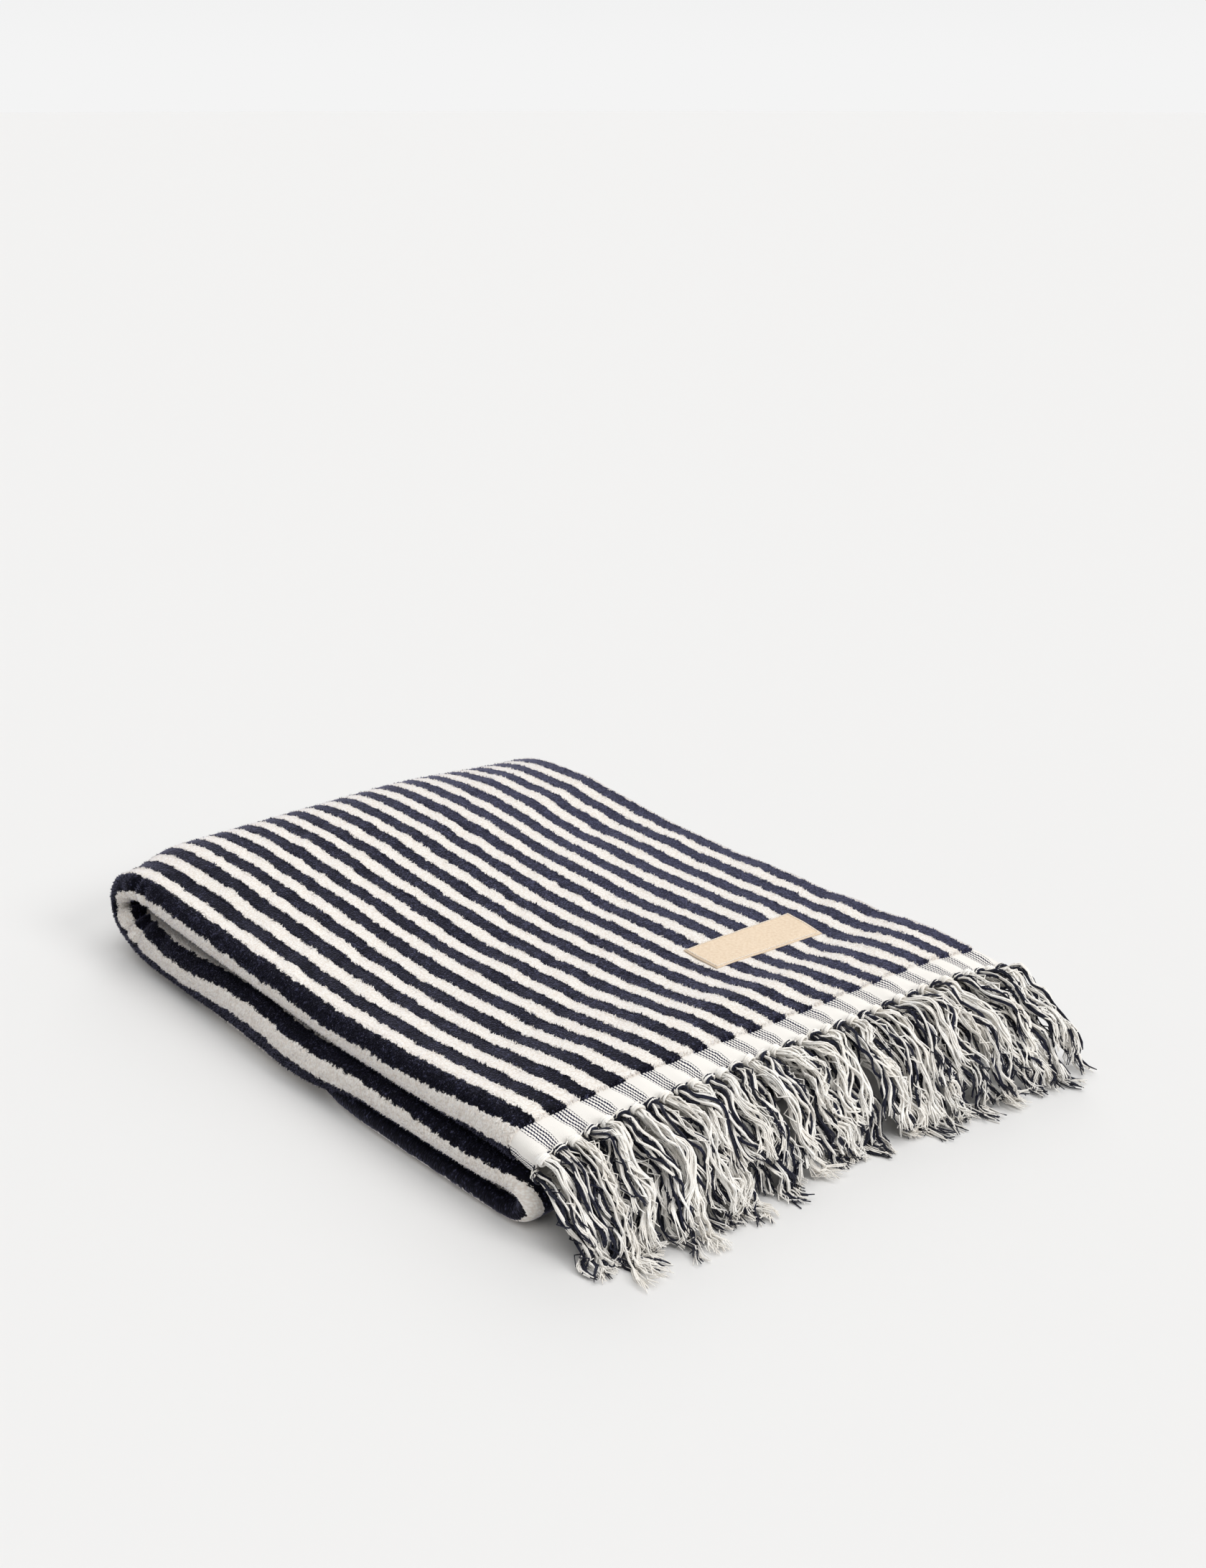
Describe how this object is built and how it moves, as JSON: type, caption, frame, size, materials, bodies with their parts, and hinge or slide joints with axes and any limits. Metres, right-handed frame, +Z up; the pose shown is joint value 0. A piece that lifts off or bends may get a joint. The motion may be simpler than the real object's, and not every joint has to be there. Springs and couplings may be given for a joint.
{
  "type": "folded beach towel",
  "caption": "Striped velour beach towel with knotted fringes, folded lengthwise and then back and forth, lying flat.",
  "frame": {"origin": "on the floor under the middle of the folded towel", "axes": "+X along the stripes towards the fringed end, +Y from the folded front edge to the open back edges, +Z up"},
  "size_m": [0.8079, 0.5149, 0.0935],
  "materials": {
    "velour": "sheared cotton velour with navy and cream stripes along the towel",
    "yarn": "twisted cotton yarn, cream with some navy",
    "canvas": "bare natural cotton canvas"
  },
  "bodies": {
    "root": {"towel_cloth": "velour", "fringe_top": "yarn", "fringe_hidden": "yarn", "label": "canvas"}
  },
  "joints": []
}
